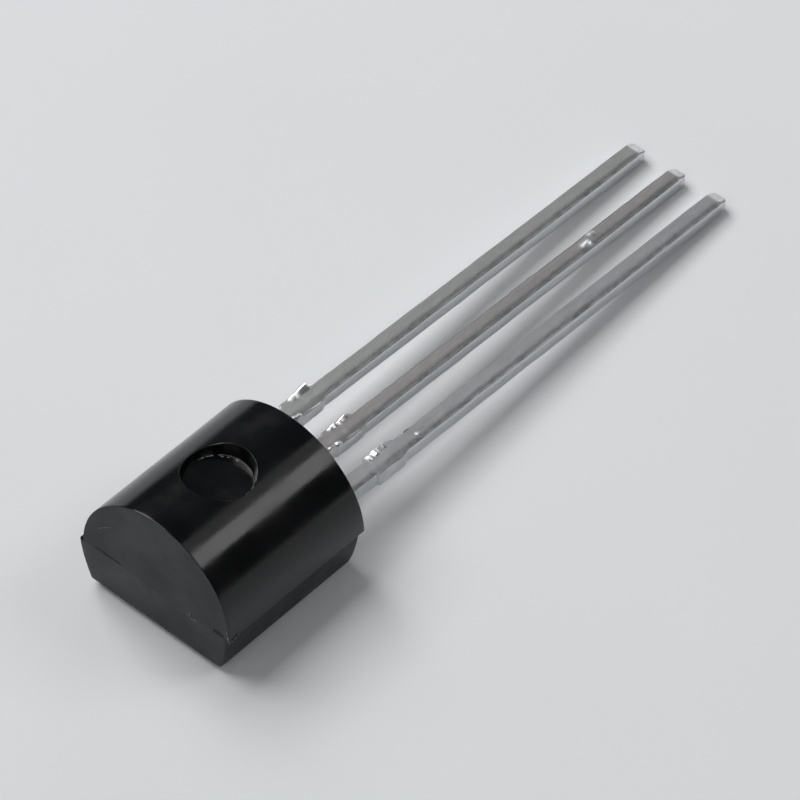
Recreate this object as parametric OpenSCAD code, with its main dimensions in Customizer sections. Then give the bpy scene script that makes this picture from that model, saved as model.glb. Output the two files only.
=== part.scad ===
// Small triac in a moulded three-lead package, lying on its flat face.
// Origin: centre of the flat face. +Y runs out along the leads, +Z goes up to the round back.
// The body is cast in two mould halves that meet at the lead plane, round a stamped lead frame
// that carries the chip and its bond wires.

/* [Body] */
// Length of the moulding, along the leads
body_len = 4.5; // [4.3:0.1:5.3]
// Radius of the round back
back_r = 2.25; // [2.1:0.05:2.6]
// Height of the parting plane, and of the leads' middle, over the flat face
parting_h = 1.25; // [1:0.05:1.6]
// Width of the flat face
flat_w = 4; // [3.5:0.1:4.2]
// Radius of the gently bulged sides between the flat face and the parting plane
side_r = 4; // [3:0.5:12]
// Sideways mismatch of the mould half that forms the round back
mould_shift = 0.12; // [0:0.01:0.2]
// Draft of the round back's two end faces, in degrees
back_draft_angle = 1.5; // [0.5:0.5:5]
// Draft of the flat side's two end faces, in degrees
flat_draft_angle = 3.5; // [0.5:0.5:7]

/* [Ejector mark] */
// Diameter of the mark's flat floor
mark_d = 1.6; // [1:0.1:1.8]
// Depth of the floor below the crest of the round back
mark_depth = 0.38; // [0.2:0.02:0.5]
// Slope of the mark's wall, in degrees from upright
mark_draft_angle = 10; // [3:1:15]
// Sideways place of the mark's centre
mark_x = 0.06; // [-0.2:0.02:0.2]
// Place of the mark's centre along the body, from its middle
mark_y = -0.09; // [-0.39:0.05:0.41]

/* [Leads] */
// Spacing of the leads
lead_pitch = 1.27; // [1.2:0.01:1.35]
// Width of a lead
lead_w = 0.46; // [0.38:0.01:0.56]
// Thickness of the lead frame strip
lead_t = 0.4; // [0.3:0.01:0.5]
// Length of a lead beyond the moulding
lead_len = 14.1; // [12:0.1:16]
// How far the lead tips hang below the lead plane
lead_droop = 0.5; // [0:0.05:0.9]
// Distance from the moulding to the trimmed dam bar
dambar_gap = 1.4; // [1.1:0.1:2]
// Width of the trimmed dam bar, along the leads
dambar_w = 1.05; // [0.6:0.05:1.3]
// How far the trimmed dam bar stands out at each side of a lead
dambar_stub = 0.08; // [0.02:0.01:0.2]

/* [Lead frame inside the body] */
// Width of the flag that carries the chip
flag_w = 2.1; // [1.6:0.1:2.3]
// Length of the flag, along the leads
flag_len = 1.9; // [1.7:0.1:2.1]
// Moulding compound beyond the flag's closed end
flag_cover = 0.8; // [0.5:0.05:1]
// Gap between the flag and the bond posts
post_gap = 0.3; // [0.2:0.05:0.5]
// Width of a bond post
post_w = 0.8; // [0.65:0.05:0.9]
// Length of a bond post, along the leads
post_len = 0.6; // [0.4:0.05:0.8]

/* [Chip and bonds] */
// Side of the square chip
chip_w = 1.2; // [1:0.05:1.5]
// Thickness of the chip
chip_t = 0.25; // [0.15:0.01:0.35]
// Thickness of the solder under the chip
solder_t = 0.04; // [0.02:0.01:0.08]
// How far the solder spreads past each side of the chip
solder_rim = 0.05; // [0.02:0.01:0.1]
// Diameter of the gate wire
gate_wire_d = 0.125; // [0.1:0.005:0.15]
// Diameter of the main terminal wire
main_wire_d = 0.2; // [0.15:0.01:0.25]
// Rise of a wire's loop over the straight line between its two bonds
wire_loop = 0.45; // [0.3:0.05:0.7]
// Distance of the gate bond from the chip's two nearest edges
gate_pad_inset = 0.24; // [0.22:0.02:0.36]
// Distance of the main bond from the chip's two nearest edges
main_pad_inset = 0.45; // [0.4:0.05:0.55]

/* [Hidden] */
$fn = 96;
body_h = parting_h + back_r;
strip_top = parting_h + lead_t / 2;
face_y = body_len / 2;
// The flag's outer edge is in line with the outer edge of its own lead
flag_x = lead_pitch + lead_w / 2 - flag_w / 2;
flag_y = -face_y + flag_cover + flag_len / 2;
post_y = flag_y + flag_len / 2 + post_gap + post_len / 2;
chip_z = strip_top + solder_t;
chip_top = chip_z + chip_t;
gate_pad = [flag_x + chip_w / 2 - gate_pad_inset, flag_y + chip_w / 2 - gate_pad_inset, chip_top];
main_pad = [flag_x - chip_w / 2 + main_pad_inset, flag_y + chip_w / 2 - main_pad_inset, chip_top];
gate_post = [0, post_y, strip_top];
main_post = [-lead_pitch, post_y, strip_top];
// Proportions of the flattened foot that a wedge tool leaves, in wire diameters
foot_length_ratio = 3;
foot_width_ratio = 1.5;
foot_height_ratio = 0.5;
// Proportions of the block that trims the end of a wire flush with its bond, in wire diameters
trim_width_ratio = 4;
trim_depth_ratio = 2;

// ---- Moulded body ----

// Runs a shape drawn in the XZ plane along Y, centred on the origin
module along_y(length) {
    rotate([90, 0, 0]) linear_extrude(length, center = true) children();
}

// Block between two heights whose two end faces lean in with height, away from the parting plane
module drafted_block(height, draft_angle) {
    lean = height * tan(draft_angle);
    rotate([90, 0, 90])
        linear_extrude(4 * back_r, center = true)
            polygon([[-face_y, 0], [face_y, 0], [face_y - lean, height], [lean - face_y, height]]);
}

// Half of the moulding with the round back
module back_half() {
    translate([mould_shift, 0, parting_h])
        intersection() {
            along_y(body_len) circle(back_r);
            drafted_block(back_r, back_draft_angle);
        }
}

// Disc whose edge runs through the end of the flat face and the edge of the parting plane
module side_disc() {
    taper = back_r - flat_w / 2;
    chord = norm([taper, parting_h]);
    sink = sqrt(side_r * side_r - chord * chord / 4);
    translate([(back_r + flat_w / 2) / 2 - sink * parting_h / chord,
               parting_h / 2 + sink * taper / chord])
        circle(side_r);
}

// Half of the moulding with the flat face
module flat_half() {
    intersection() {
        along_y(body_len)
            intersection() {
                translate([-back_r, 0]) square([2 * back_r, parting_h]);
                side_disc();
                mirror([1, 0]) side_disc();
            }
        translate([0, 0, parting_h]) mirror([0, 0, 1]) drafted_block(parting_h, flat_draft_angle);
    }
}

// Round recess that the ejector pin leaves in the crest of the back
module ejector_mark() {
    rise = mark_depth + back_r / 10;
    translate([mark_x, mark_y, body_h - mark_depth])
        cylinder(h = rise, d1 = mark_d, d2 = mark_d + 2 * rise * tan(mark_draft_angle));
}

module moulded_body() {
    color("#14181b")
        difference() {
            union() {
                back_half();
                flat_half();
            }
            ejector_mark();
            main_terminal_1_lead();
            gate_lead();
            main_terminal_2_lead();
            triac_die();
            die_attach_solder();
            gate_bond_wire();
            main_terminal_1_bond_wire();
        }
}

// ---- Lead frame ----

// Side view of the strip: level inside the moulding, then falling evenly to the tips
module strip_side(from_y) {
    tip_y = face_y + lead_len;
    rotate([90, 0, 90])
        linear_extrude(4 * back_r, center = true)
            polygon([
                [from_y, strip_top], [face_y, strip_top], [tip_y, strip_top - lead_droop],
                [tip_y, strip_top - lead_t - lead_droop], [face_y, strip_top - lead_t],
                [from_y, strip_top - lead_t]
            ]);
}

// Plan of a lead from a given place inside the moulding to its tip, with its dam bar stubs
module lead_plan(from_y) {
    translate([-lead_w / 2, from_y]) square([lead_w, face_y + lead_len - from_y]);
    translate([-lead_w / 2 - dambar_stub, face_y + dambar_gap])
        square([lead_w + 2 * dambar_stub, dambar_w]);
}

// Stamps a plan out of the strip
module stamped(from_y) {
    color("#98a1a5")
        intersection() {
            strip_side(from_y);
            linear_extrude(body_h) children();
        }
}

// Lead that ends inside the moulding in a bond post
module post_lead(x) {
    post_end = post_y - post_len / 2;
    stamped(post_end)
        translate([x, 0]) {
            lead_plan(post_end);
            translate([-post_w / 2, post_end]) square([post_w, post_len]);
        }
}

module main_terminal_1_lead() {
    post_lead(-lead_pitch);
}

module gate_lead() {
    post_lead(0);
}

// This lead and the flag under the chip are one stamping
module main_terminal_2_lead() {
    stamped(flag_y - flag_len / 2) {
        translate([lead_pitch, 0]) lead_plan(flag_y);
        translate([flag_x, flag_y]) square([flag_w, flag_len], center = true);
    }
}

// ---- Chip and bonds ----

module die_attach_solder() {
    spread = chip_w + 2 * solder_rim;
    color("#8d9296")
        translate([flag_x, flag_y, strip_top + solder_t / 2])
            cube([spread, spread, solder_t], center = true);
}

module triac_die() {
    color("#56606b")
        translate([flag_x, flag_y, chip_z + chip_t / 2])
            cube([chip_w, chip_w, chip_t], center = true);
}

// Flattened foot of a bond, in line with its wire
module bond_foot(place, bearing, wire_d) {
    translate(place)
        rotate(bearing)
            translate([-foot_length_ratio, -foot_width_ratio, 0] * wire_d / 2)
                cube([foot_length_ratio, foot_width_ratio, foot_height_ratio] * wire_d);
}

// Block under a bond's surface, which trims the end of the wire flush with it
module below_bond(place, wire_d) {
    translate(place - [0, 0, trim_depth_ratio * wire_d / 2])
        cube([trim_width_ratio, trim_width_ratio, trim_depth_ratio] * wire_d, center = true);
}

// Wire that rises in one arc from the first bond and comes down on the second
module bond_wire(first, second, wire_d) {
    run = second - first;
    level = norm([run.x, run.y]);
    chord = norm(run);
    arc_r = (chord * chord / 4 + wire_loop * wire_loop) / (2 * wire_loop);
    half_angle = asin(chord / (2 * arc_r));
    over_run = atan(wire_d / arc_r);
    bearing = atan2(run.y, run.x);
    color("#d3d6d8")
        union() {
            difference() {
                translate((first + second) / 2)
                    rotate([0, -atan2(run.z, level), bearing])
                        translate([0, 0, wire_loop - arc_r])
                            rotate([90, 0, 0])
                                rotate(90 - half_angle - over_run)
                                    rotate_extrude(angle = 2 * (half_angle + over_run))
                                        translate([arc_r, 0]) circle(d = wire_d);
                below_bond(first, wire_d);
                below_bond(second, wire_d);
            }
            bond_foot(first, bearing, wire_d);
            bond_foot(second, bearing, wire_d);
        }
}

module gate_bond_wire() {
    bond_wire(gate_pad, gate_post, gate_wire_d);
}

module main_terminal_1_bond_wire() {
    bond_wire(main_pad, main_post, main_wire_d);
}

moulded_body();
main_terminal_1_lead();
gate_lead();
main_terminal_2_lead();
triac_die();
die_attach_solder();
gate_bond_wire();
main_terminal_1_bond_wire();
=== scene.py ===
# %% [markdown]
# # A small triac in a moulded package, dressed for the camera
#
# The part is a black epoxy moulding with a round back, lying on its flat face, and three tinned
# leads that run out of one end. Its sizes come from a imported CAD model, which is loaded here as a
# fixed frame. This lesson builds the visible pieces again in finer detail, finishes every surface
# with nodes, and lights the part in a plain studio.

# %% Load the fixed frame
import math

import bmesh
import bpy
from mathutils import Matrix, Quaternion, Vector, noise


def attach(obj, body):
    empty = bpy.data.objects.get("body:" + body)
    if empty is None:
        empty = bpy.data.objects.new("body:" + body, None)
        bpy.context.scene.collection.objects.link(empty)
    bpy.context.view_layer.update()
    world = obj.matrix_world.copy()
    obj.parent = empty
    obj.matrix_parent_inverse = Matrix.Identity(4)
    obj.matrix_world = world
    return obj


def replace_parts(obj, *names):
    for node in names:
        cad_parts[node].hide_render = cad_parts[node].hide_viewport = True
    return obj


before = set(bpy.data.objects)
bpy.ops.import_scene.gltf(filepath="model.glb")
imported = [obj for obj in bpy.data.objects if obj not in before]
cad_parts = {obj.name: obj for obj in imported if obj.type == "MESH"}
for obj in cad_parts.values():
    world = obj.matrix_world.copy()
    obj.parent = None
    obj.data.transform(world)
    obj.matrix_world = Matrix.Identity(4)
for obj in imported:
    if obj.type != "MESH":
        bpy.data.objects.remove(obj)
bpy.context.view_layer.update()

# %% [markdown]
# ## Working in millimetres
#
# Blender's unit is the metre, and a part of this size would be all thousandths. Each piece is
# modelled in millimetres in a bmesh, and its mesh is scaled down once, when the piece is done. The
# object itself stays at the origin, unturned and unscaled, so a pattern on Object coordinates
# stays where it was put.

# %% Helpers that select, cut and measure
X, Y, Z = Vector((1, 0, 0)), Vector((0, 1, 0)), Vector((0, 0, 1))
MM = 0.001


def cut(bm, axis, places):
    """Cuts every face along planes square to an axis, and keeps both sides."""
    for place in places:
        everything = bm.verts[:] + bm.edges[:] + bm.faces[:]
        bmesh.ops.bisect_plane(bm, geom=everything, dist=1e-6, plane_co=axis * place, plane_no=axis)


def facing(bm, direction, start=-99, end=99, near=0.9):
    """Faces that look in a direction, with their middle between two places along Y."""
    bm.normal_update()
    return [f for f in bm.faces
            if f.normal.dot(direction) > near and start < f.calc_center_median().y < end]


def pull(bm, faces, vector, keep=False):
    """Extrudes faces as one region and returns the new ones. Only a loose sheet keeps its first."""
    grown = bmesh.ops.extrude_face_region(bm, geom=faces)["geom"]
    moved = [part for part in grown if isinstance(part, bmesh.types.BMVert)]
    bmesh.ops.translate(bm, verts=moved, vec=vector)
    if not keep:
        bmesh.ops.delete(bm, geom=faces, context="FACES_ONLY")
    return [part for part in grown if isinstance(part, bmesh.types.BMFace)]


def sharp_edges(bm, degrees, wanted=lambda middle: True):
    """Edges whose two faces meet at more than an angle, at the places asked for."""
    return [e for e in bm.edges if e.is_manifold and e.calc_face_angle() > math.radians(degrees)
            and wanted((e.verts[0].co + e.verts[1].co) / 2)]


def round_off(bm, edges, radius, segments=4):
    """Rounds edges, as dies and moulds with worn corners do."""
    bmesh.ops.bevel(bm, geom=edges, offset=radius, offset_type="OFFSET", segments=segments,
                    profile=0.5, affect="EDGES", clamp_overlap=True, material=-1)


def steps(start, end, spacing):
    """Evenly spaced places from start to end."""
    count = max(1, round((end - start) / spacing))
    return [start + (end - start) * i / count for i in range(count + 1)]


def open_edges(bm):
    """Number of edges that don't have exactly two faces: 0 on a closed shape."""
    return sum(len(e.link_faces) != 2 for e in bm.edges)


# %% [markdown]
# ## The leads: stamped out of strip
#
# The three leads start as one stamped copper alloy strip. Inside the body, the left-hand and the
# middle one end in posts for the bond wires, and the right-hand one widens into the flag that
# carries the chip. Each could be an outline that is extruded. Here it is a cube that is cut across
# with `bisect_plane` and widened at its inner end by extruding some of its side faces, because that
# is how a stamped outline is laid out: by stations along its length.

# %% Lead sizes, in millimetres
PITCH = 1.27
LEAD_WIDTH = 0.46
STRIP_LOW, STRIP_HIGH = 1.05, 1.45
BODY_END = 2.25
TIP = 16.35
DROOP = 0.5
BAR_START, BAR_END = BODY_END + 1.4, BODY_END + 2.45


def blank_lead(middle, inner_end, inner_left, inner_right, inner_step):
    """Lead as it is stamped: inner plate and straight lead."""
    bm = bmesh.new()
    bmesh.ops.create_cube(bm, size=1)
    bmesh.ops.scale(bm, verts=bm.verts, vec=(LEAD_WIDTH, TIP - inner_end, STRIP_HIGH - STRIP_LOW))
    bmesh.ops.translate(bm, verts=bm.verts,
                        vec=(middle, (TIP + inner_end) / 2, (STRIP_LOW + STRIP_HIGH) / 2))
    cut(bm, Y, [inner_step, BAR_END])
    pull(bm, facing(bm, -X, inner_end, inner_step), -X * inner_left)
    pull(bm, facing(bm, X, inner_end, inner_step), X * inner_right)
    bmesh.ops.recalc_face_normals(bm, faces=bm.faces)
    return bm


POST_WIDTH, FLAG_WIDTH = 0.8, 2.1
POST_START, POST_END, POST_EXTRA = 0.75, 1.35, (POST_WIDTH - LEAD_WIDTH) / 2
FLAG_START, FLAG_END, FLAG_EXTRA = -1.45, 0.45, FLAG_WIDTH - LEAD_WIDTH
leads = {
    "main_terminal_1_lead": blank_lead(-PITCH, POST_START, POST_EXTRA, POST_EXTRA, POST_END),
    "gate_lead": blank_lead(0, POST_START, POST_EXTRA, POST_EXTRA, POST_END),
    "main_terminal_2_lead": blank_lead(PITCH, FLAG_START, FLAG_EXTRA, 0, FLAG_END),
}
for name, bm in leads.items():
    print(f"{name}: {len(bm.faces)} faces as stamped, {open_edges(bm)} open edges")

# %% [markdown]
# ## The leads: rounded and sliced
#
# A punch rolls the strip's edges over and the tin rounds them further, so no edge is sharp. A
# Subdivision Surface would soften them too, but it would also shrink the square tips, so the edges
# are beveled. The two upper edges beyond the dam bar come first, each with a radius of its own, and
# all the others share one. The right-hand lead shows a trap: its right side was extruded by nothing,
# which left faces of no width, and a bevel that may not overlap stops there. So its other edges
# stay sharp, and it keeps those faces, although it counts as closed. Then each lead is sliced
# across and along, closest at the dam bar and at the tip, where the next steps need fine points.

# %% Round and slice the leads
EDGE_ROUND = 0.045
TIP_CAP = 0.25
SLICES_ACROSS = (-0.165, -0.14, -0.09, -0.04, 0.01, 0.06, 0.1, 0.14)
SLICES_UP = (STRIP_LOW + 0.13, STRIP_LOW + 0.26)


def round_and_slice(bm, middle, left_round, right_round):
    """Rounds the edges of a lead and cuts it into short rings."""
    for side, radius in ((-1, left_round), (1, right_round)):
        edge_x = middle + side * LEAD_WIDTH / 2
        round_off(bm, sharp_edges(bm, 60, lambda m: m.z > STRIP_HIGH - 0.01 and m.y > BAR_END
                                  and abs(m.x - edge_x) < 0.01), radius)
    round_off(bm, sharp_edges(bm, 30), EDGE_ROUND)
    cut(bm, Y, steps(BODY_END, BAR_START - 0.3, 0.08)
        + steps(BAR_START - 0.27, BAR_END + 0.6, 0.03)
        + steps(BAR_END + 0.66, TIP - TIP_CAP - 0.04, 0.06)
        + steps(TIP - TIP_CAP, TIP - 0.05, 0.025))
    cut(bm, X, [middle + across for across in SLICES_ACROSS])
    cut(bm, Z, SLICES_UP)


for name, place, left_round, right_round in (
        ("main_terminal_1_lead", -PITCH, 0.05, 0.03), ("gate_lead", 0, 0.12, 0.03),
        ("main_terminal_2_lead", PITCH, 0.05, 0.03)):
    round_and_slice(leads[name], place, left_round, right_round)
    print(f"{name}: {len(leads[name].faces)} faces, {open_edges(leads[name])} open edges")

# %% [markdown]
# ## The leads: how torn and dipped metal is drawn
#
# A thin bar across the leads, the dam bar, keeps the moulding compound in. A punch cuts it away
# afterwards, and leaves a torn stub on both sides of each lead, with burrs along its upper edge.
# The leads are then dipped in molten tin, which sets in low waves. A material's bump alone would
# leave the outline ruler-straight, so the points of the mesh are moved instead, by three functions
# of their place, which come out the same each time. A burr is a tooth that rises along the lead and
# drops off sharply, and its rising face is what catches the light.

# %% Waves, ramps and teeth, in millimetres
TOOTH_TOP = 0.75
TOOTH_DROP = 0.05


def waves(place, size):
    """Smooth noise from about -1 to 1, with bumps of a given size."""
    return noise.noise(place / size) + 0.5 * noise.noise(place * 2.1 / size + Vector((7, 3, 5)))


def ramp(value, start, end):
    """0 before start, 1 after end, and a smooth rise between them."""
    t = min(1, max(0, (value - start) / (end - start)))
    return t * t * (3 - 2 * t)


def tooth(along, across, shape):
    """Height of a burr, given as its place across, half width, start, end and height."""
    place, half, start, end, height = shape
    rise = min(1, max(0, (along - start) / (end - start)))
    rise *= 1 - ramp(along, end, end + TOOTH_DROP)
    return height * rise * (1 - ramp(abs(across - place), half * TOOTH_TOP, half))


example = (0, 0.1, 1, 1.2, 0.05)
print("a tooth along the lead:", [round(tooth(1 + 0.05 * i, 0, example), 3) for i in range(6)])

# %% [markdown]
# ## The leads: dipping
#
# One pass over a lead's points adds up all that happened to it: the stubs and the slight wander of
# its sides, the burrs, the edge that the punch rolled over, the solder's waves, the slant of the
# cut tip, and the droop of the whole lead toward the flat face's side. A Displace modifier with a
# texture could do the waves alone, but the rest depends on where along the lead a point is. How
# sheared, rolled over or torn each point is stays on the mesh as an attribute, and the material
# reads it.

# %% Dip one lead
WAVE, WAVE_SIZE = 0.005, 0.7
LUMP, ROLLED_LUMP, LUMP_SIZE = 0.001, 0.003, 0.16
EDGE_WAVE_SIZE = 0.3
WANDER, WANDER_SIZE = 0.008, 1.1
RAGGED, RAGGED_SIZE = 0.25, 0.2
BURR_ROUGH, BURR_ROUGH_SIZE = 0.12, 0.11
DIE_ROLL = 0.03
CAP_SLOPE, CAP_NARROWS = math.tan(math.radians(17)), 0.3


def dip(bm, middle, stubs, burrs, left_wave):
    """Pushes out the stubs, raises the burrs and sets the solder's waves."""
    bm.normal_update()
    sheared = bm.verts.layers.float.new("sheared")
    rolled_over = bm.verts.layers.float.new("rolled_over")
    torn = bm.verts.layers.float.new("torn")
    moves = []
    for v in bm.verts:
        # Where the point is: how far out of the body, how far to the right, and how high up.
        along, across = v.co.y - BODY_END, v.co.x - middle
        right = across > 0
        outside = ramp(along, 0, 0.3)
        top = max(0, (v.co.z - STRIP_LOW) / (STRIP_HIGH - STRIP_LOW))
        before_cap = 1 - ramp(v.co.y, TIP - TIP_CAP - 0.12, TIP - TIP_CAP)
        at_bar = (ramp(v.co.y, BAR_START, BAR_START + 0.05)
                  * (1 - ramp(v.co.y, BAR_END - 0.2, BAR_END + 0.03)))
        at_side = min(1, max(0, (abs(across) - 0.17) / 0.06))
        # What the material will read.
        burr = sum(tooth(along, across, shape) for shape in burrs)
        v[sheared] = ramp(abs(v.normal.x), 0.75, 1)
        v[rolled_over] = ramp(across, 0.02, 0.14) * top * before_cap
        v[torn] = ramp(burr, 0.004, 0.02) * top
        # Solder, which swells square to the surface, in waves that are longer along the lead.
        drawn_out = Vector((v.co.x, v.co.y * 0.6, v.co.z))
        lumps = LUMP + ROLLED_LUMP * ramp(across, 0, 0.12) * top
        swell = WAVE * waves(drawn_out, WAVE_SIZE) + lumps * waves(v.co, LUMP_SIZE)
        at_left = ramp(-across, 0.1, 0.17)
        swell += left_wave * at_left * waves(Vector((3, v.co.y, 1)), EDGE_WAVE_SIZE)
        move = v.normal * swell * outside
        # The sides: a slight wander, and the ragged stubs of the dam bar.
        wander = WANDER * waves(Vector((right, v.co.y, 9)), WANDER_SIZE) * outside
        uneven = 1 + RAGGED * waves(Vector((right, v.co.y, v.co.z)), RAGGED_SIZE)
        move.x += math.copysign(1, across) * (wander + stubs[right] * at_bar * uneven) * at_side
        # The top: burrs stand up, and elsewhere the right edge is rolled down.
        move.z += top * outside * burr * (1 + BURR_ROUGH * waves(v.co, BURR_ROUGH_SIZE))
        rolled = DIE_ROLL * max(0, (across - 0.07) / 0.16) ** 2
        move.z -= (1 - v[torn]) * top * outside * before_cap * rolled
        # The whole lead: its droop, and the slant and pinch that the cutter left at the tip.
        move.z -= DROOP * max(0, along) / (TIP - BODY_END)
        move.z -= top * CAP_SLOPE * max(0, v.co.y - (TIP - TIP_CAP))
        move.x -= CAP_NARROWS * across * max(0, (v.co.y - TIP) / 0.14 + 1) ** 3
        moves.append((v, move))
    for v, move in moves:
        v.co += move
        v.co.y = min(v.co.y, TIP)


# %% [markdown]
# ## The leads: what happened to each
#
# No two leads tear alike, so each gets its own stubs and burrs. On its left edge the first lead has
# one long burr, the gate lead two shorter ones, and the last lead a row of three with two small
# ones beyond. The first two also have short burrs on the right, and the gate lead has two low drops
# of solder toward its tip. Random numbers could place them all, but then nobody could say where
# they are.

# %% Dip the three leads
STUBS = {  # how far each stub stands out to the left and to the right
    "main_terminal_1_lead": (0.10, 0.06),
    "gate_lead": (0.06, 0.04),
    "main_terminal_2_lead": (0.06, 0.06),
}
BURRS = {  # each burr's place across, half width, start and end out of the body, and height
    "main_terminal_1_lead": [(-0.25, 0.08, 1.72, 2.3, 0.14), (0.24, 0.08, 1.34, 1.57, 0.065)],
    "gate_lead": [(-0.25, 0.08, 1.63, 1.86, 0.055), (-0.25, 0.08, 1.92, 2.22, 0.08),
                  (0.23, 0.07, 1.18, 1.38, 0.05), (0.24, 0.06, 1.4, 1.56, 0.04),
                  (0.05, 0.1, 10.3, 10.62, 0.045), (-0.1, 0.08, 10.7, 10.9, 0.03)],
    "main_terminal_2_lead": [(-0.24, 0.09, 1.54, 1.66, 0.03), (-0.24, 0.09, 1.68, 1.86, 0.055),
                             (-0.25, 0.08, 1.88, 2.12, 0.1), (-0.215, 0.035, 2.66, 2.9, 0.05),
                             (0.05, 0.03, 2.93, 3.0, 0.03)],
}
LEFT_WAVES = (0.002, 0.011, 0.002)
for (name, bm), middle, left_wave in zip(leads.items(), (-PITCH, 0, PITCH), LEFT_WAVES):
    dip(bm, middle, STUBS[name], BURRS[name], left_wave)
    print(f"{name}: {len(bm.faces)} faces, {open_edges(bm)} open edges")

# %% [markdown]
# ## The moulding: two halves of a mould
#
# The body is cast in a mould whose halves meet at the plane of the leads. The upper half gives the
# round back, the lower half the flat face, and here they met a little out of line, which left a
# ledge on one side and an overhang on the other. Every end face leans in a little so that the
# casting leaves the mould. One sculpted mesh could show all this, but two simple solids joined by
# a Boolean give the step and the drafts their true sizes. All sizes are in millimetres.

# %% Body sizes and drafts
BACK_RADIUS = 2.25
PARTING = 1.25
SHIFT = 0.12
FLAT_WIDTH = 4.0
SIDE_RADIUS = 4.0
BACK_DRAFT, FLAT_DRAFT = math.radians(1.5), math.radians(3.5)


def lean_ends(bm, draft):
    """Leans both end faces in, away from the parting plane."""
    for v in bm.verts:
        v.co.y -= math.copysign(abs(v.co.z - PARTING) * math.tan(draft), v.co.y)


# %% [markdown]
# ## The round half
#
# The upper half of the mould is a round trough. A cylinder cut in two would have its shape, but
# then its ends would need making good. So a disc stands on its edge at the near end, is cut off at
# the parting plane, and what is left is extruded to the far end. The end arcs are rounded a little,
# and each end face gets an inner ring so that its shading stays flat.

# %% Round back
BACK_SEGMENTS = 288
END_ROUND, END_RIM = 0.015, 0.03
back = bmesh.new()
upright = Matrix.Translation((SHIFT, -BODY_END, PARTING)) @ Matrix.Rotation(math.pi / 2, 4, "X")
bmesh.ops.create_circle(back, cap_ends=True, radius=BACK_RADIUS, segments=BACK_SEGMENTS,
                        matrix=upright)
bmesh.ops.bisect_plane(back, geom=back.verts[:] + back.edges[:] + back.faces[:], dist=1e-6,
                       plane_co=Z * PARTING, plane_no=Z, clear_inner=True)
pull(back, back.faces[:], Y * 2 * BODY_END, keep=True)
bmesh.ops.recalc_face_normals(back, faces=back.faces)
lean_ends(back, BACK_DRAFT)
end_arcs = sharp_edges(back, 60, lambda m: abs(m.y) > BODY_END - 0.1 and m.z > PARTING + 0.001)
round_off(back, end_arcs, END_ROUND)
cut(back, Y, [-2.12, -2.0] + steps(-1.8, 1.8, 0.2) + [2.0, 2.12])
for direction in (-Y, Y):
    bmesh.ops.inset_region(back, faces=facing(back, direction, near=0.995), thickness=END_RIM,
                           use_even_offset=True)
print("round back open edges:", open_edges(back), "faces", len(back.faces))

# %% [markdown]
# ## The flat half
#
# Below the leads the sides bulge gently down to the flat face that the part can lie on. An arc
# could be drawn and extruded, but a block needs fewer steps: it gets level cuts, its side points
# are moved out onto an arc of 4 mm radius, and its corners are rounded last.

# %% Flat half
CORNER_ROUND = 0.06


def half_width(z):
    """Half of the width of the flat half at a height."""
    taper = BACK_RADIUS - FLAT_WIDTH / 2
    chord = math.hypot(taper, PARTING)
    sink = math.sqrt(SIDE_RADIUS ** 2 - chord ** 2 / 4)
    centre_x = (BACK_RADIUS + FLAT_WIDTH / 2) / 2 - sink * PARTING / chord
    centre_z = PARTING / 2 + sink * taper / chord
    return centre_x + math.sqrt(SIDE_RADIUS ** 2 - (z - centre_z) ** 2)


flat = bmesh.new()
bmesh.ops.create_cube(flat, size=1)
bmesh.ops.scale(flat, verts=flat.verts, vec=(2 * BACK_RADIUS, 2 * BODY_END, PARTING))
bmesh.ops.translate(flat, verts=flat.verts, vec=Z * PARTING / 2)
cut(flat, Z, steps(0, PARTING, 0.15)[1:-1])
for v in flat.verts:
    v.co.x = math.copysign(half_width(v.co.z), v.co.x)
lean_ends(flat, FLAT_DRAFT)
corners = sharp_edges(flat, 60, lambda m: m.z < PARTING - 0.001)
round_off(flat, corners, CORNER_ROUND)
cut(flat, Y, [-2.08, -1.9] + steps(-1.6, 1.6, 0.4) + [1.9, 2.08])
bmesh.ops.recalc_face_normals(flat, faces=flat.faces)
print("flat half open edges:", open_edges(flat), "faces", len(flat.faces))

# %% [markdown]
# ## The ejector mark
#
# A round pin pushes the casting out of the mould. It stands proud of the mould's wall, so it
# leaves a round recess with a flat floor. A cylinder could cut it, but the real one has a rounded
# corner, a drafted wall and a rounded lip, so its cutter is a profile spun through a full turn.

# %% Cutter for the ejector mark
crest = PARTING + BACK_RADIUS
MARK_X, MARK_Y = 0.06, -0.09
MARK_FLOOR = crest - 0.38
MARK_RADIUS = 0.8
MARK_DRAFT = math.tan(math.radians(10))
LIP = 0.035
CORNER = 0.012
FLASH_RING = MARK_RADIUS - 0.04

wall_top = MARK_RADIUS + (crest - LIP - MARK_FLOOR) * MARK_DRAFT
profile = [(r, MARK_FLOOR) for r in (0, 0.55, 0.65, 0.71, 0.735, FLASH_RING, MARK_RADIUS - CORNER)]
profile += [(MARK_RADIUS - CORNER * (1 - math.sin(a)), MARK_FLOOR + CORNER * (1 - math.cos(a)))
            for a in (0.5, 1.0, 1.4)]
profile += [(wall_top, crest - LIP)]
profile += [(wall_top + LIP * (1 - math.cos(a)), crest - LIP + LIP * math.sin(a))
            for a in (0.4, 0.8, 1.2)]
profile += [(wall_top + LIP, crest + 0.3), (0, crest + 0.3)]
mark = bmesh.new()
points = [mark.verts.new((r, 0, z)) for r, z in profile]
lines = [mark.edges.new(pair) for pair in zip(points, points[1:])]
bmesh.ops.spin(mark, geom=points + lines, cent=(0, 0, 0), axis=Z, angle=2 * math.pi, steps=160,
               use_merge=True)
bmesh.ops.remove_doubles(mark, verts=mark.verts, dist=1e-5)
print("mark cutter:", len(mark.faces), "faces,", open_edges(mark), "open edges")

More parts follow.
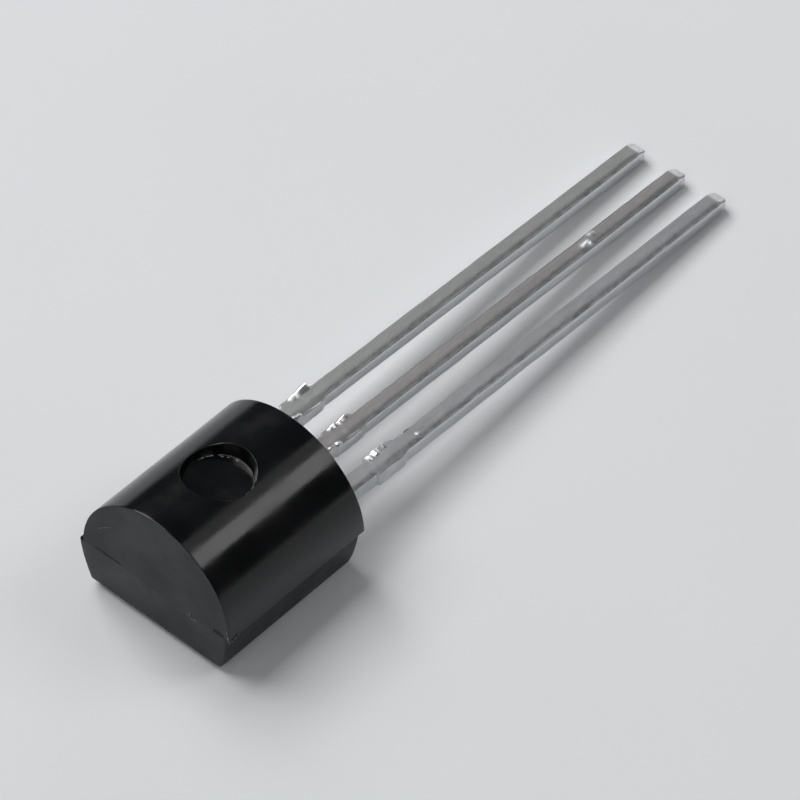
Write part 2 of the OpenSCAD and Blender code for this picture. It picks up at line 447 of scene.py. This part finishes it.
# %% [markdown]
# ## Scraps and nicks in the mark
#
# Thin scraps of flash stay in the corner of the mark's floor, and its lip has two nicks. They could
# be pieces of their own, but they are one with the moulding, so each is a patch where a ring of the
# cutter is lifted a little. The rings above the floor are then let down onto the round back, and
# the rounded lip follows the body's curve.

# %% Scraps, nicks and the lip
FLASH = [(98, 4, 0.018), (121, 12, 0.016), (148, 9, 0.006), (164, 6, 0.018)]
NICKS = [(3, 4, 0.03), (20, 3, 0.03)]


def left_behind(place, patches):
    """Height at a place round the mark, of patches with a bearing, half width and height."""
    bearing = math.degrees(math.atan2(place.y, place.x)) % 360
    return sum(height * max(0, 1 - ((bearing - middle) / half) ** 2)
               for middle, half, height in patches)


for v in mark.verts:
    radius = v.co.xy.length
    if abs(radius - FLASH_RING) < 0.005:
        v.co.z += left_behind(v.co, FLASH)
    elif radius > wall_top + 0.01:
        v.co.z += left_behind(v.co, NICKS)
bmesh.ops.translate(mark, verts=mark.verts, vec=(MARK_X, MARK_Y, 0))
for v in mark.verts:
    drop = math.sqrt(BACK_RADIUS ** 2 - (v.co.x - SHIFT) ** 2) - BACK_RADIUS
    share = min(1, max(0, (v.co.z - MARK_FLOOR) / (crest - LIP - MARK_FLOOR)))
    v.co.z += drop * share
bmesh.ops.recalc_face_normals(mark, faces=mark.faces)
print("mark cutter open edges:", open_edges(mark))

# %% [markdown]
# ## Dents at the parting line
#
# Where the mould halves meet, the near end has a shallow streak on one side and a small pit on the
# other, left when flash was broken off. A bump in the material could hint at them, but it would not
# shade itself as a real dent does. Each is cut by an icosphere that is squashed to a lens: a closed
# shape with even faces, which a Boolean handles well.

# %% Cutters for the dents
NEAR_END = -BODY_END


def lens(middle, half_size):
    """Squashed ball that cuts a shallow dent."""
    bm = bmesh.new()
    bmesh.ops.create_icosphere(bm, subdivisions=4, radius=1)
    bmesh.ops.scale(bm, verts=bm.verts, vec=half_size)
    bmesh.ops.translate(bm, verts=bm.verts, vec=middle)
    return bm


dents = [lens((-1.33, NEAR_END, 1.335), (0.46, 0.022, 0.045)),
         lens((2.05, NEAR_END, 1.32), (0.17, 0.04, 0.075))]
print("dent cutters:", [open_edges(bm) for bm in dents], "open edges")

# %% [markdown]
# ## Joining and hollowing the moulding
#
# The compound flows round the leads, the chip and its wires before it sets, so the moulding has
# exactly their shape inside it. A solid body that the leads merely pass through would look the
# same from outside, but a cut through it would be wrong. Two exact Booleans do what the compound
# did: one joins the halves, and one takes away the mark, the dents and every buried piece.

# %% Boolean helpers


def as_object(bm, name):
    """Puts a bmesh into a new object, still in millimetres."""
    mesh = bpy.data.meshes.new(name)
    bm.to_mesh(mesh)
    piece = bpy.data.objects.new(name, mesh)
    bpy.context.scene.collection.objects.link(piece)
    return piece


def boolean(base, tools, operation, overlap=False):
    """Joins tools to base, or cuts them all from it, with one exact Boolean."""
    group = bpy.data.collections.new("tools")
    for tool in tools:
        group.objects.link(tool)
    modifier = base.modifiers.new("join_or_cut", "BOOLEAN")
    modifier.operand_type, modifier.collection = "COLLECTION", group
    modifier.operation, modifier.solver, modifier.use_self = operation, "EXACT", overlap
    bpy.context.scene.collection.children.link(group)
    bpy.context.view_layer.update()
    shown = base.evaluated_get(bpy.context.evaluated_depsgraph_get())
    result = bpy.data.meshes.new_from_object(shown)
    if "custom_normal" in result.attributes:
        result.attributes.remove(result.attributes["custom_normal"])
    base.modifiers.clear()
    base.data = result
    bpy.data.collections.remove(group)
    print(f"{operation} of {len(tools)}: {len(result.polygons)} faces")


# %% [markdown]
# ## One moulding with everything in it
#
# A buried CAD piece is copied before it cuts, and merged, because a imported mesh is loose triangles.
# Its copy is also sunk by a few thousandths of a millimetre: it could cut from where it lies, but
# two faces in one plane are what a Boolean handles worst.

# %% Join and hollow the moulding
SINK = {"die_attach_solder": 0.001, "triac_die": 0.002, "gate_bond_wire": 0.004,
        "main_terminal_1_bond_wire": 0.004}
lead_objects = {name: as_object(bm, name + "_dipped") for name, bm in leads.items()}
body = as_object(back, "body_moulding")
joined = [as_object(flat, "flat_half")]
cutters = [as_object(mark, "mark_cutter")] + [as_object(bm, "dent_cutter") for bm in dents]
for name, sink in SINK.items():
    copy = bmesh.new()
    copy.from_mesh(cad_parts[name].data)
    bmesh.ops.scale(copy, verts=copy.verts, vec=(1 / MM, 1 / MM, 1 / MM))
    bmesh.ops.remove_doubles(copy, verts=copy.verts, dist=1e-4)
    bmesh.ops.translate(copy, verts=copy.verts, vec=-Z * sink)
    cutters.append(as_object(copy, name + "_cavity"))
boolean(body, joined, "UNION")
boolean(body, cutters + list(lead_objects.values()), "DIFFERENCE", overlap=True)
for tool in joined + cutters:
    bpy.data.objects.remove(tool)

# %% [markdown]
# ## Flash at the parting line
#
# Flash is compound that crept between the mould halves and set as a film. Most of it breaks off in
# handling. A wisp is left at the near right-hand corner, with two crumbs on the near end. A curve
# with a bevel could draw them, but a circle that is extruded from point to point, and turned and
# scaled on the way, gives a closed mesh that tapers as a torn film does.

# %% Flash
FLASH_RADII = (0.02, 0.013, 0.008)
TAPER = 0.4
FLASH_PATHS = [
    [(2.29, -2.243, 1.56), (2.32, -2.248, 1.42), (2.35, -2.252, 1.28), (2.37, -2.25, 1.21),
     (2.375, -2.17, 1.22), (2.378, -2.08, 1.25), (2.375, -1.99, 1.28), (2.37, -1.9, 1.29)],
    [(1.18, -2.248, 1.375), (1.175, -2.25, 1.3), (1.18, -2.248, 1.22), (1.21, -2.246, 1.17),
     (1.28, -2.246, 1.165), (1.36, -2.246, 1.187)],
    [(-1.67, -2.229, 2.09), (-1.62, -2.23, 2.045), (-1.49, -2.227, 2.147), (-1.24, -2.222, 2.33)],
]


def film(path, radius):
    """Thin torn strand along a path, closed and tapered at both ends."""
    bm = bmesh.new()
    spots = [Vector(spot) for spot in path]
    ways = [(b - a).normalized() for a, b in zip(spots, spots[1:])]
    aimed = Z.rotation_difference(ways[0]).to_matrix().to_4x4()
    bmesh.ops.create_circle(bm, cap_ends=True, radius=radius * TAPER, segments=8,
                            matrix=Matrix.Translation(spots[0]) @ aimed)
    front = bm.faces[:]
    for i, (here, there) in enumerate(zip(spots, spots[1:])):
        front = pull(bm, front, there - here, keep=i == 0)
        turn = ways[i].rotation_difference(ways[min(i + 1, len(ways) - 1)])
        bmesh.ops.rotate(bm, verts=front[0].verts, cent=there, matrix=turn.to_matrix())
        size = 1 / TAPER if i == 0 else TAPER if i == len(ways) - 1 else 1
        bmesh.ops.scale(bm, verts=front[0].verts, vec=(size, size, size),
                        space=Matrix.Translation(-there))
    bmesh.ops.recalc_face_normals(bm, faces=bm.faces)
    return bm


strands = [film(path, radius) for path, radius in zip(FLASH_PATHS, FLASH_RADII)]
print("flash:", [open_edges(bm) for bm in strands], "open edges")
flash = as_object(strands[0], "parting_flash")
joined = [as_object(bm, "crumb") for bm in strands[1:]]
boolean(flash, joined, "UNION")
for tool in joined:
    bpy.data.objects.remove(tool)

# %% [markdown]
# ## Down to metres, and a finish for each face
#
# The meshes are scaled down, shaded smooth, and kept sharp along the parting line and wherever two
# faces meet steeply. A Weighted Normal modifier lets the large faces decide the shading, so the
# ends look flat right up to their rounded rims. Each face of the body is also told which wall of
# the mould it came off, and the scraps and nicks of the ejector mark get a light grey finish of
# their own: partly the grey of broken epoxy, partly a painted highlight that stands in for their
# glints. Separate objects could do that too, but the moulding is one piece, so it stays one mesh.

# %% Scale to metres and sort the faces
SHARP_ANGLE = math.radians(26)
POLISHED, ERODED, BROKEN_AND_GLINT = range(3)
for piece in [body, flash, *lead_objects.values()]:
    piece.data.transform(Matrix.Scale(MM, 4))
    piece.data.shade_smooth()
    piece.data.set_sharp_from_angle(angle=SHARP_ANGLE)
at_parting = [abs(v.co.z - PARTING * MM) < 1e-6 for v in body.data.vertices]
for edge in body.data.edges:
    if all(at_parting[i] for i in edge.vertices):
        edge.use_edge_sharp = True
for face in body.data.polygons:
    middle = face.center / MM
    at_end = abs(middle.y) > 2.1 and abs(face.normal.y) > 0.2
    face.material_index = ERODED if middle.z < PARTING or at_end else POLISHED
    out = middle - Vector((MARK_X, MARK_Y, MARK_FLOOR))
    radius = out.xy.length
    in_corner = 0.75 < radius < MARK_RADIUS and 0 < out.z < 0.05 and left_behind(out, FLASH) > 0.003
    on_lip = wall_top < radius < wall_top + LIP and out.z > 0.2 and left_behind(out, NICKS) > 0.005
    # Scraps and nicks take the light grey finish, which is broken epoxy and a painted highlight.
    if in_corner or on_lip:
        face.material_index = BROKEN_AND_GLINT
even = body.modifiers.new("even_shading", "WEIGHTED_NORMAL")
even.keep_sharp = True
finishes = [face.material_index for face in body.data.polygons]
print("faces of each finish:", [finishes.count(i) for i in (POLISHED, ERODED, BROKEN_AND_GLINT)])

# %% [markdown]
# ## Materials
#
# One small function adds a node with its settings and links. Colours are written as sRGB hex, the
# way a picker gives them, and turned to linear light once. Inputs are named, or numbered on the Mix
# node, where several share one name: 0 is its factor, 2 and 3 mix numbers, 6 and 7 mix colours. The
# scale of a noise is written as lumps per millimetre, divided by MM because the scene is in metres.

# %% Node and colour helpers


def linear(hex_colour):
    """sRGB hex to linear RGBA."""
    parts = [int(hex_colour[i:i + 2], 16) / 255 for i in (1, 3, 5)]
    return (*[c / 12.92 if c <= 0.04045 else ((c + 0.055) / 1.055) ** 2.4 for c in parts], 1)


def add(tree, kind, inputs=None, **settings):
    """Adds a node, and sets or links its inputs. Text is a hex colour."""
    node = tree.nodes.new("ShaderNode" + kind)
    for name, value in settings.items():
        setattr(node, name, value)
    for name, value in (inputs or {}).items():
        if isinstance(value, bpy.types.NodeSocket):
            tree.links.new(value, node.inputs[name])
        else:
            node.inputs[name].default_value = linear(value) if isinstance(value, str) else value
    return node


def new_material(name, **constants):
    """Empty node material, its Object coordinates, and a Principled shader on its output."""
    material = bpy.data.materials.new(name)
    material.use_nodes = True
    tree = material.node_tree
    tree.nodes.clear()
    settings = {key.replace("_", " "): value for key, value in constants.items()}
    shader = add(tree, "BsdfPrincipled", settings)
    add(tree, "OutputMaterial", {"Surface": shader.outputs["BSDF"]})
    return material, tree, shader, add(tree, "TexCoord").outputs["Object"]


# %% [markdown]
# ### Moulding compound
#
# The body is epoxy filled with fused silica and carbon black, transfer moulded. It copies the wall
# of its mould: the round back comes off a polished wall and is glossy, the ends and the flat half
# come off a spark-eroded wall, whose fine craters leave them matt. Where flash broke off, the grey
# silica shows in specks. On the mark's scraps and nicks and on the flash, that grey is made light
# enough to be a painted highlight as well, which stands in for their glints. All three are one
# function with different roughness, grain and shades. The craters are about 0.02 mm apart, finer
# than the render shows, so the grain is drawn at 0.07 mm. The epoxy's clouds are about 1 mm wide,
# the specks 0.05 mm.

# %% Moulding compound


def epoxy_finish(name, per_mm, rough_low, rough_high, grain_depth, base_dark, base_light):
    """Black moulding compound as one wall of the mould, or a break, leaves it; a light break is
    partly painted highlight.
    """
    material, tree, shader, place = new_material(name, IOR=1.5)
    uneven = add(tree, "TexNoise", {"Vector": place, "Scale": per_mm / MM, "Detail": 5})
    clouds = add(tree, "MapRange", {"Value": uneven.outputs["Fac"], "From Min": 0.4,
                                    "From Max": 0.62}).outputs["Result"]
    colour = add(tree, "Mix", {0: clouds, 6: base_dark, 7: base_light}, data_type="RGBA")
    rough = add(tree, "MapRange", {"Value": clouds, "To Min": rough_low, "To Max": rough_high})
    grain = add(tree, "TexNoise", {"Vector": place, "Scale": 14 / MM, "Detail": 3}).outputs["Fac"]
    bump = add(tree, "Bump", {"Height": grain, "Strength": grain_depth, "Distance": 0.01 * MM})
    tree.links.new(colour.outputs[2], shader.inputs["Base Color"])
    tree.links.new(rough.outputs["Result"], shader.inputs["Roughness"])
    tree.links.new(bump.outputs["Normal"], shader.inputs["Normal"])
    return material


polished = epoxy_finish("epoxy_from_polished_mould", 0.9, 0.12, 0.2, 0.1, "#090a0b", "#0d0e10")
matt = epoxy_finish("epoxy_from_eroded_mould", 0.9, 0.42, 0.55, 0.5, "#101214", "#17191b")
# Light grey break: partly the grey of broken epoxy, partly a painted highlight for glints.
broken_and_glint = epoxy_finish("broken_epoxy_flash_painted_glints", 22, 0.3, 0.5, 0.5, "#1b1e20", "#85898b")

# %% [markdown]
# ### Tinned leads
#
# The strip is a copper alloy, dipped in tin. On its rolled faces the tin is dull, in soft patches.
# On the sides, which the punch sheared and burnished, it is smooth enough to mirror the floor.
# Over the right-hand edge, which the punch rolled over, the tin is darker and rougher, in flecks,
# and where the punch tore the metal, the burrs are bare and pale. The modelling steps left the
# attributes `sheared`, `rolled_over` and `torn` on the points, so the finish follows the shape. The
# tips are freshly wetted and pale too. The patches are about 0.4 mm wide, the flecks 0.2 mm and the
# lumps 0.14 mm, and all are drawn out along the lead, the way the tin ran off.

# %% Tinned leads


def dipped_tin(name, dull, bright):
    """Tin on a stamped lead, dull on top, bright on the sides and at the tip."""
    material, tree, shader, place = new_material(name, Metallic=1.0)
    drawn_out = add(tree, "Mapping", {"Vector": place, "Scale": (1, 0.45, 1)}).outputs["Vector"]
    patches = add(tree, "TexNoise", {"Vector": drawn_out, "Scale": 2.6 / MM, "Detail": 5})
    tone = add(tree, "MapRange", {"Value": patches.outputs["Fac"], "From Min": 0.3,
                                  "From Max": 0.7}).outputs["Result"]
    flecks = add(tree, "TexNoise", {"Vector": drawn_out, "Scale": 4.5 / MM, "Detail": 6,
                                    "Roughness": 0.68})
    dark = add(tree, "MapRange", {"Value": flecks.outputs["Fac"], "From Min": 0.42,
                                  "From Max": 0.68}).outputs["Result"]
    edge = add(tree, "Attribute", attribute_name="rolled_over").outputs["Fac"]
    side = add(tree, "Attribute", attribute_name="sheared").outputs["Fac"]
    torn = add(tree, "Attribute", attribute_name="torn").outputs["Fac"]
    film = add(tree, "MapRange", {"Value": dark, "To Min": 0.35, "To Max": 1}).outputs["Result"]
    # Over the rolled-over right edge the tin is made darker and rougher, in flecks.
    darker_edge_flecks = add(tree, "Math", {0: film, 1: edge}, operation="MULTIPLY").outputs[0]
    length = add(tree, "SeparateXYZ", {"Vector": place}).outputs["Y"]
    cap = add(tree, "MapRange", {"Value": length, "From Min": (TIP - TIP_CAP - 0.02) * MM,
                                 "From Max": (TIP - TIP_CAP + 0.04) * MM}).outputs["Result"]
    colour = add(tree, "Mix", {0: tone, 6: dull, 7: bright}, data_type="RGBA")
    for factor, shade in ((darker_edge_flecks, "#7d8082"), (side, "#d8dadb"), (torn, "#e6e7e9"),
                          (cap, "#d8d9db")):
        colour = add(tree, "Mix", {0: factor, 6: colour.outputs[2], 7: shade}, data_type="RGBA")
    rough = add(tree, "MapRange", {"Value": tone, "To Min": 0.4, "To Max": 0.3})
    for factor, value in ((darker_edge_flecks, 0.55), (side, 0.16), (torn, 0.36), (cap, 0.33)):
        rough = add(tree, "Mix", {0: factor, 2: rough.outputs[0], 3: value})
    lumps = add(tree, "TexNoise", {"Vector": drawn_out, "Scale": 7 / MM, "Detail": 4})
    bump = add(tree, "Bump", {"Height": lumps.outputs["Fac"], "Strength": 0.25,
                              "Distance": 0.03 * MM})
    tree.links.new(colour.outputs[2], shader.inputs["Base Color"])
    tree.links.new(rough.outputs[0], shader.inputs["Roughness"])
    tree.links.new(bump.outputs["Normal"], shader.inputs["Normal"])
    return material


LEAD_FINISH = {"main_terminal_1_lead": dipped_tin("dipped_tin", "#b6b8b6", "#d0d1cf"),
               "gate_lead": dipped_tin("thin_dipped_tin", "#b3b0af", "#cac8c7"),
               "main_terminal_2_lead": dipped_tin("bright_dipped_tin", "#bbbcbf", "#d4d4d7")}

# %% [markdown]
# ### Chip, die solder and bond wires
#
# They are sealed in the moulding, where only a cut through the part would show them, and they keep
# their CAD meshes. The chip is sawn silicon, a dark grey that mirrors, crossed by the saw's fine
# lines. The solder under it has set in dull grains. The wires are drawn aluminium, streaked by the
# drawing plate that they were pulled through.

# %% Sealed pieces


def sealed_finish(name, stretch, per_mm, dark, light, rough_low, rough_high, **constants):
    """Finish with one grain, which may be drawn out along one direction."""
    material, tree, shader, place = new_material(name, **constants)
    drawn_out = add(tree, "Mapping", {"Vector": place, "Scale": stretch}).outputs["Vector"]
    grain = add(tree, "TexNoise", {"Vector": drawn_out, "Scale": per_mm / MM,
                                   "Detail": 4}).outputs["Fac"]
    colour = add(tree, "Mix", {0: grain, 6: dark, 7: light}, data_type="RGBA")
    rough = add(tree, "MapRange", {"Value": grain, "To Min": rough_low, "To Max": rough_high})
    bump = add(tree, "Bump", {"Height": grain, "Strength": 0.3, "Distance": 0.005 * MM})
    tree.links.new(colour.outputs[2], shader.inputs["Base Color"])
    tree.links.new(rough.outputs["Result"], shader.inputs["Roughness"])
    tree.links.new(bump.outputs["Normal"], shader.inputs["Normal"])
    return material


silicon = sealed_finish("sawn_silicon", (1, 0.05, 1), 9, "#3b4149", "#4a515a", 0.12, 0.3, IOR=3.9)
die_solder = sealed_finish("reflowed_die_solder", (1, 1, 1), 12, "#8f9294", "#b3b6b7", 0.35, 0.55,
                           Metallic=1.0)
wire = sealed_finish("drawn_aluminium", (1, 0.1, 1), 14, "#c9cbcd", "#dfe1e2", 0.18, 0.3,
                     Metallic=1.0)
SEALED_FINISH = {"die_attach_solder": die_solder, "triac_die": silicon, "gate_bond_wire": wire,
                 "main_terminal_1_bond_wire": wire}

# %% [markdown]
# ## Who stands for whom
#
# The modelled body and leads take the place of their CAD nodes, which stay in the physics model.
# The sealed pieces are the CAD's own, with a better finish.

# %% Ride, slot and replace
for finish in (polished, matt, broken_and_glint):
    body.data.materials.append(finish)
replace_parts(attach(body, "root"), "moulded_body")
# The flash takes the light grey finish too: broken epoxy, and a painted highlight along its edge.
flash.data.materials.append(broken_and_glint)
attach(flash, "root")
for name, lead in lead_objects.items():
    lead.data.materials.append(LEAD_FINISH[name])
    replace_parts(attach(lead, "root"), name)
for name, finish in SEALED_FINISH.items():
    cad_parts[name].data.materials.clear()
    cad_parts[name].data.materials.append(finish)

# %% [markdown]
# ## Studio: the floor
#
# The part doesn't lie quite flat: its weight is at the leads' side of the flat face, so it rocks
# onto the lead tips. The floor goes through that edge and the tips. It is pale paper, whose fibres
# make soft clouds about 8 mm wide. Its colour is darkened a little where it is seen at a grazing
# angle. This is painted shade: it darkens the floor where the round back mirrors it low down, while
# the ground seen from above stays even.

# %% Floor
REST_EDGE = 2.17
TIP_LOW = STRIP_LOW - DROOP
floor_slope = (TIP_LOW - 0.01) / (TIP - REST_EDGE)
floor_bm = bmesh.new()
bmesh.ops.create_grid(floor_bm, x_segments=2, y_segments=2, size=600)
for v in floor_bm.verts:
    v.co.z = (v.co.y - REST_EDGE) * floor_slope
floor = as_object(floor_bm, "studio_floor")
floor.data.transform(Matrix.Scale(MM, 4))
paper, tree, shader, place = new_material("pale_paper", Roughness=0.9)
fibres = add(tree, "TexNoise", {"Vector": place, "Scale": 0.12 / MM, "Detail": 3}).outputs["Fac"]
colour = add(tree, "Mix", {0: fibres, 6: "#eceef0", 7: "#f1f3f5"}, data_type="RGBA")
# Painted shade: the floor is darker where it is seen at a grazing angle.
grazing = add(tree, "LayerWeight", {"Blend": 0.5}).outputs["Facing"]
painted_grazing_shade = add(tree, "MapRange", {"Value": grazing, "From Min": 0.34, "From Max": 0.85,
                                "To Min": 1, "To Max": 0.8}).outputs["Result"]
colour = add(tree, "Mix", {0: 1.0, 6: colour.outputs[2], 7: painted_grazing_shade}, data_type="RGBA",
             blend_type="MULTIPLY")
tree.links.new(colour.outputs[2], shader.inputs["Base Color"])
floor.data.materials.append(paper)

# %% [markdown]
# ## Studio: the lights
#
# The round back is a curved mirror and so are the burrs, so each lamp is placed where the eye sees
# it mirrored. One large lamp would do for a matt object, but here it would hide the form. The key
# softbox lights the floor from the left and whitens the burrs. The side strip draws the one stripe
# along the back, and the side glow softens its edge. The front fill lights the matt near end. The
# back card whitens the cut tips, the back glow fills the tops of the leads, and the left card makes
# their left edges glint. The air is pale at the horizon and nearly black above, which keeps the
# rest of the back black. Radiance is turned into watts, so a lamp's size doesn't change its
# brightness.

# %% Lights


def lamp(name, direction, distance, width, length, radiance):
    """Area light that looks at the part, with its length set along the part."""
    data = bpy.data.lights.new(name, "AREA")
    data.shape, data.size, data.size_y = "RECTANGLE", width * MM, length * MM
    data.energy = radiance * math.pi * data.size * data.size_y
    light = bpy.data.objects.new(name, data)
    bpy.context.scene.collection.objects.link(light)
    away = Vector(direction).normalized()
    along = (Y - away * away.y).normalized()
    light.matrix_world = (Matrix.Translation((Vector((0, 3, 2)) + away * distance) * MM)
                          @ Matrix((along.cross(away), along, away)).transposed().to_4x4())
    print(f"{name}: {data.energy:.4f} W")


lamp("key_softbox", (-0.53, -0.1, 0.84), 300, 200, 240, 3.9)
lamp("side_strip", (0.495, 0.49, 0.715), 250, 78, 120, 2.5)
lamp("side_glow", (0.25, 0.485, 0.84), 250, 60, 120, 0.5)
lamp("front_fill", (0.1, -0.8, 0.6), 300, 220, 160, 0.9)
lamp("back_card", (-0.5, 0.84, 0.27), 250, 110, 70, 1.0)
lamp("back_glow", (-0.42, 0.77, 0.48), 250, 110, 150, 0.3)
lamp("left_card", (-0.74, 0.22, 0.63), 250, 106, 88, 2.5)

world = bpy.data.worlds.new("studio_air")
bpy.context.scene.world = world
world.use_nodes = True
tree = world.node_tree
tree.nodes.clear()
looking = add(tree, "TexCoord").outputs["Generated"]
fade = add(tree, "ValToRGB", {"Fac": add(tree, "SeparateXYZ", {"Vector": looking}).outputs["Z"]})
horizon, above = fade.color_ramp.elements
horizon.position, horizon.color = 0.0, (0.8, 0.81, 0.82, 1)
above.position, above.color = 0.14, (0.05, 0.052, 0.054, 1)
air = add(tree, "Background", {"Color": fade.outputs["Color"]})
add(tree, "OutputWorld", {"Surface": air.outputs["Background"]})

# %% [markdown]
# ## Camera
#
# A long lens from 126 mm away keeps the leads nearly parallel. The view comes over the right-hand
# near corner, about 47 degrees up, where the near end, the mark, the stripe and all three leads
# show at once. The camera is placed by its bearing and height from a point on the part, so that it
# can be walked round it with two numbers.

# %% Camera
camera_data = bpy.data.cameras.new("camera")
camera_data.sensor_width, camera_data.lens = 36, 240.67
camera_data.clip_start, camera_data.clip_end = 0.01, 5
camera = bpy.data.objects.new("camera", camera_data)
bpy.context.scene.collection.objects.link(camera)
azimuth, elevation, roll = math.radians(40.790), math.radians(46.822), math.radians(1.131)
back_to_eye = Vector((math.sin(azimuth) * math.cos(elevation),
                      -math.cos(azimuth) * math.cos(elevation), math.sin(elevation)))
LOOKED_AT, DISTANCE = Vector((-0.5279, 6.7502, -0.0555)), 125.626
camera.location = (LOOKED_AT + back_to_eye * DISTANCE) * MM
camera.rotation_mode = "QUATERNION"
camera.rotation_quaternion = back_to_eye.to_track_quat("Z", "Y") @ Quaternion((0, 0, 1), roll)
bpy.context.scene.camera = camera
bpy.context.scene.view_settings.view_transform = "Standard"
print("camera at", [round(c / MM, 3) for c in camera.location])
